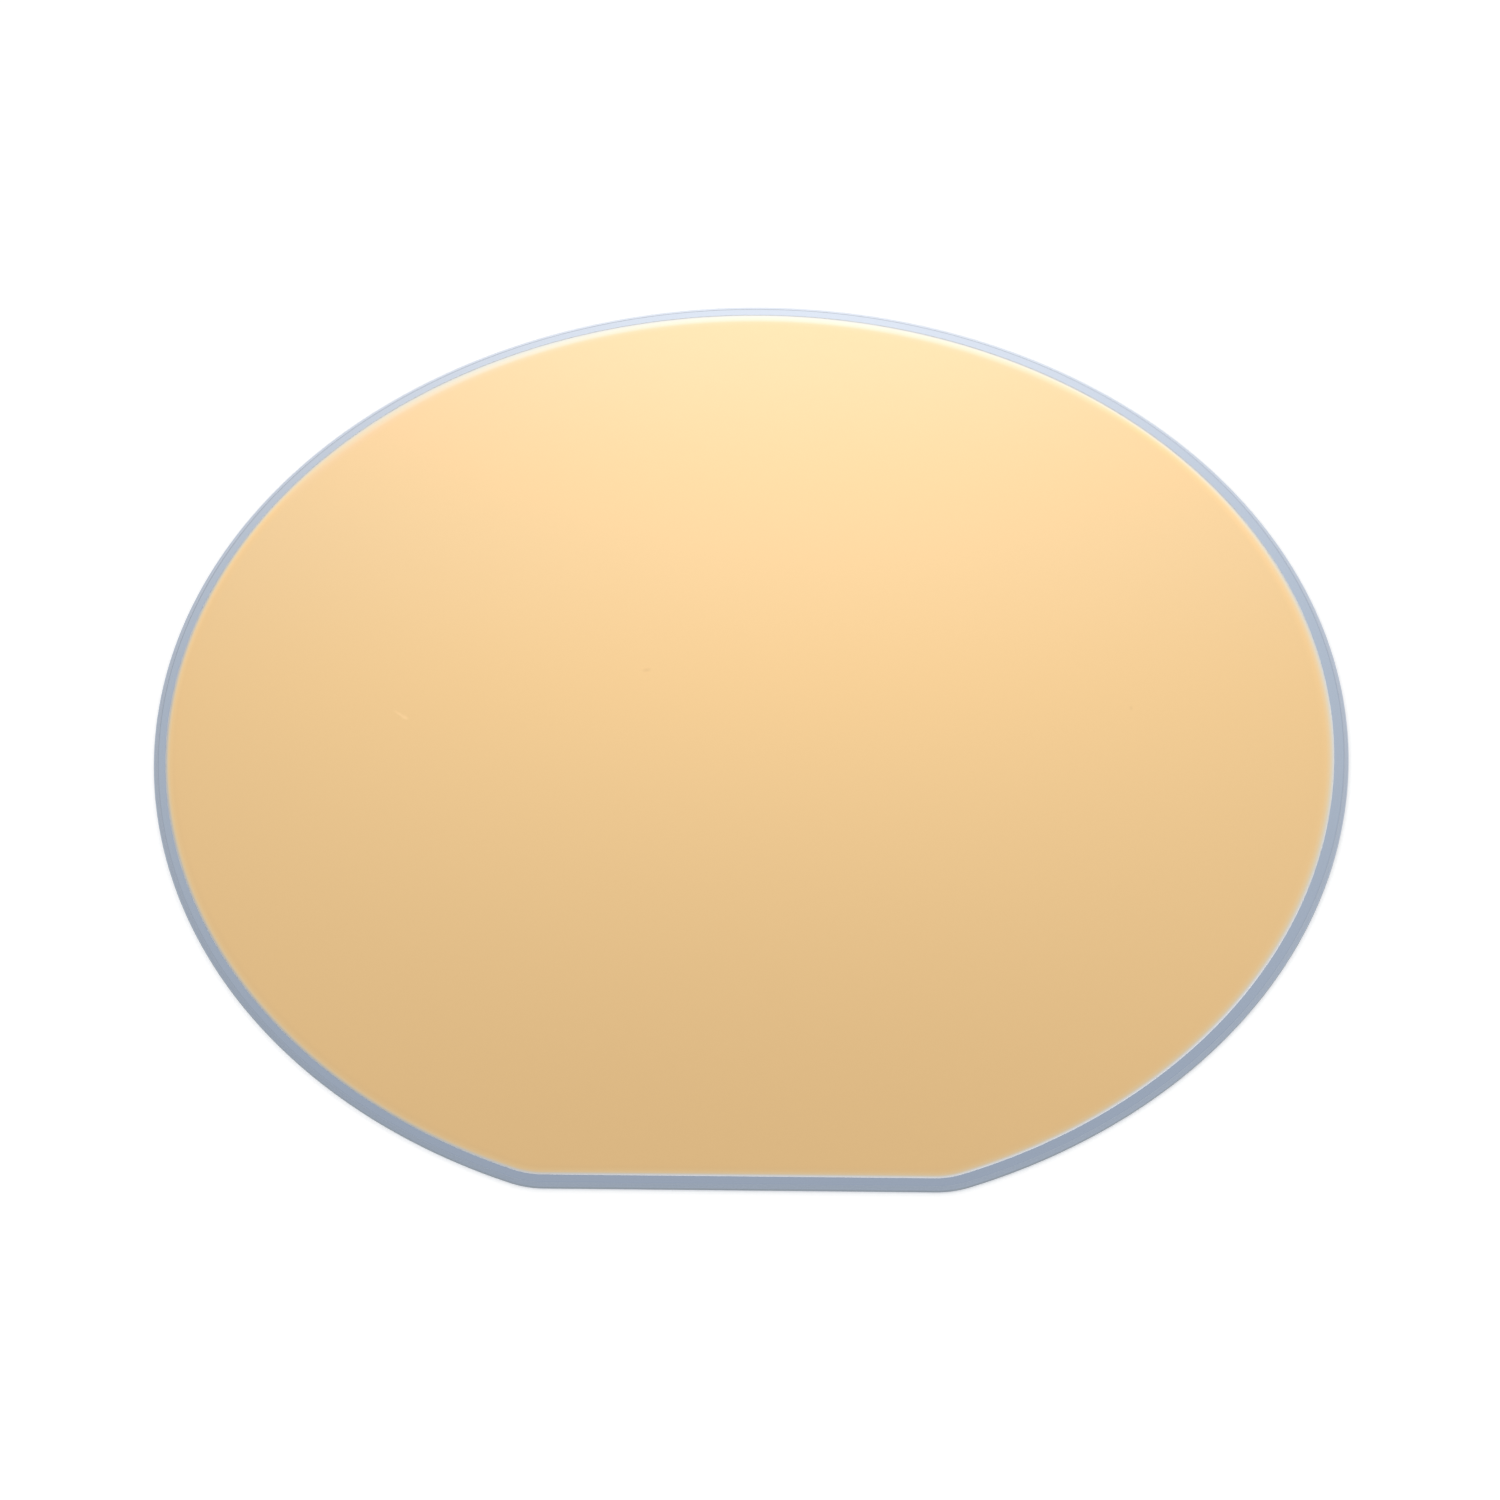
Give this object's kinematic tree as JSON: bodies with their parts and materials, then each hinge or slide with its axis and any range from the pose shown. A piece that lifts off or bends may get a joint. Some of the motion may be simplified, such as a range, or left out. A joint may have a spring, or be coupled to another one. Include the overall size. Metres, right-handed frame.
{
  "type": "silicon wafer",
  "caption": "Thin round silicon wafer with a primary flat, a ground rounded edge and a gold-coloured film that stops short of the edge.",
  "frame": {"origin": "centre of the wafer's full circle, on its back face", "axes": "+Z is the wafer's axis, from the back face towards the film; -Y points at the primary flat; +X runs along the flat"},
  "size_m": [0.1, 0.0973, 0.0005],
  "materials": {
    "polished_silicon": "gloss",
    "gold_toned_film": "gloss"
  },
  "bodies": {
    "root": {"silicon_substrate": "polished_silicon", "front_film": "gold_toned_film"}
  },
  "joints": []
}
